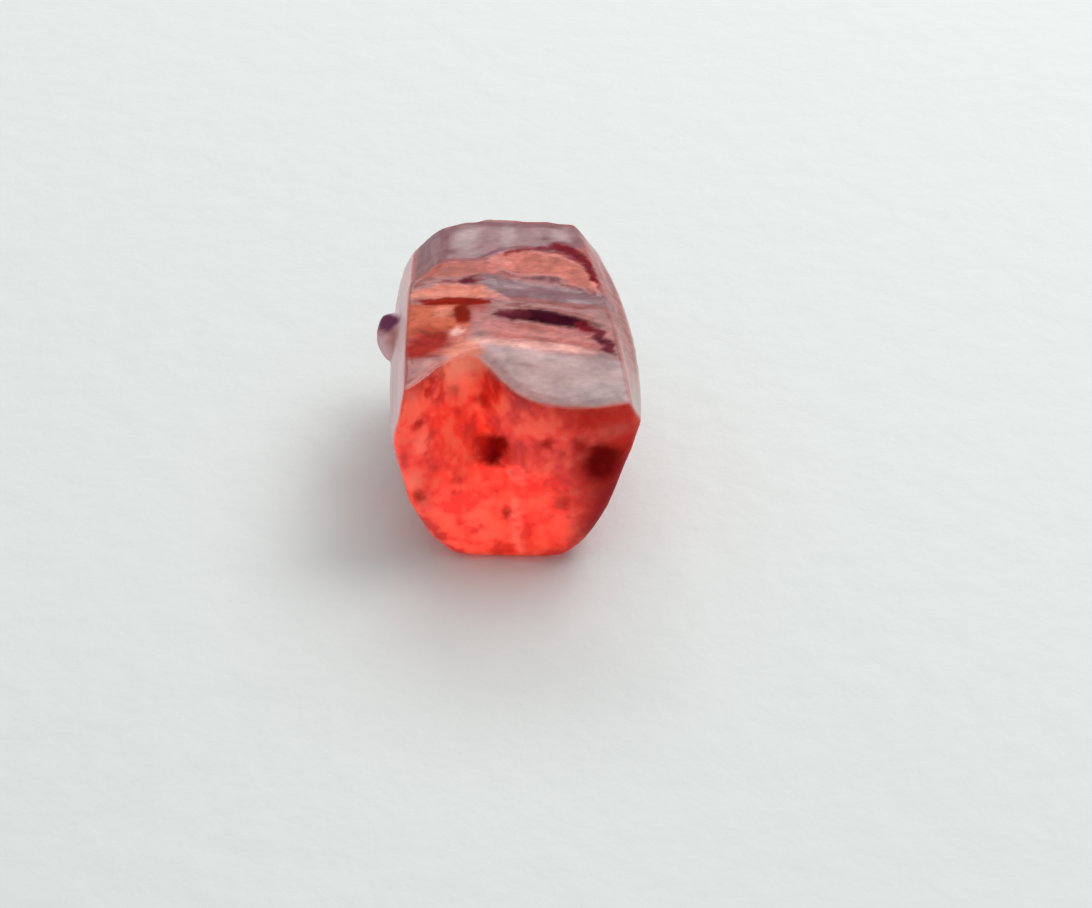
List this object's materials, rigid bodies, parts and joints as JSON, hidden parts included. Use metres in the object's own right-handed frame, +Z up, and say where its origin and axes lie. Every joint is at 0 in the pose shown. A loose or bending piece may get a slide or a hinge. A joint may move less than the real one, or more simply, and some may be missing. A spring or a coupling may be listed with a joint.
{
  "type": "rough tourmaline crystal",
  "caption": "Short broken prism of clear pink-red tourmaline lying on one prism face, with grooved sides, broken ends and a chipped top.",
  "frame": {"origin": "on the surface that the crystal rests on, under the middle of its outline", "axes": "+Z up, +Y along the crystal's long axis from the glowing near break to the far break, +X to the right seen from the near break"},
  "size_m": [0.009, 0.0106, 0.0072],
  "materials": {
    "rubellite": "clear pink-red crystal, glossy on the prism faces, mottled inside"
  },
  "bodies": {
    "root": {"tourmaline_crystal": "rubellite"}
  },
  "joints": []
}
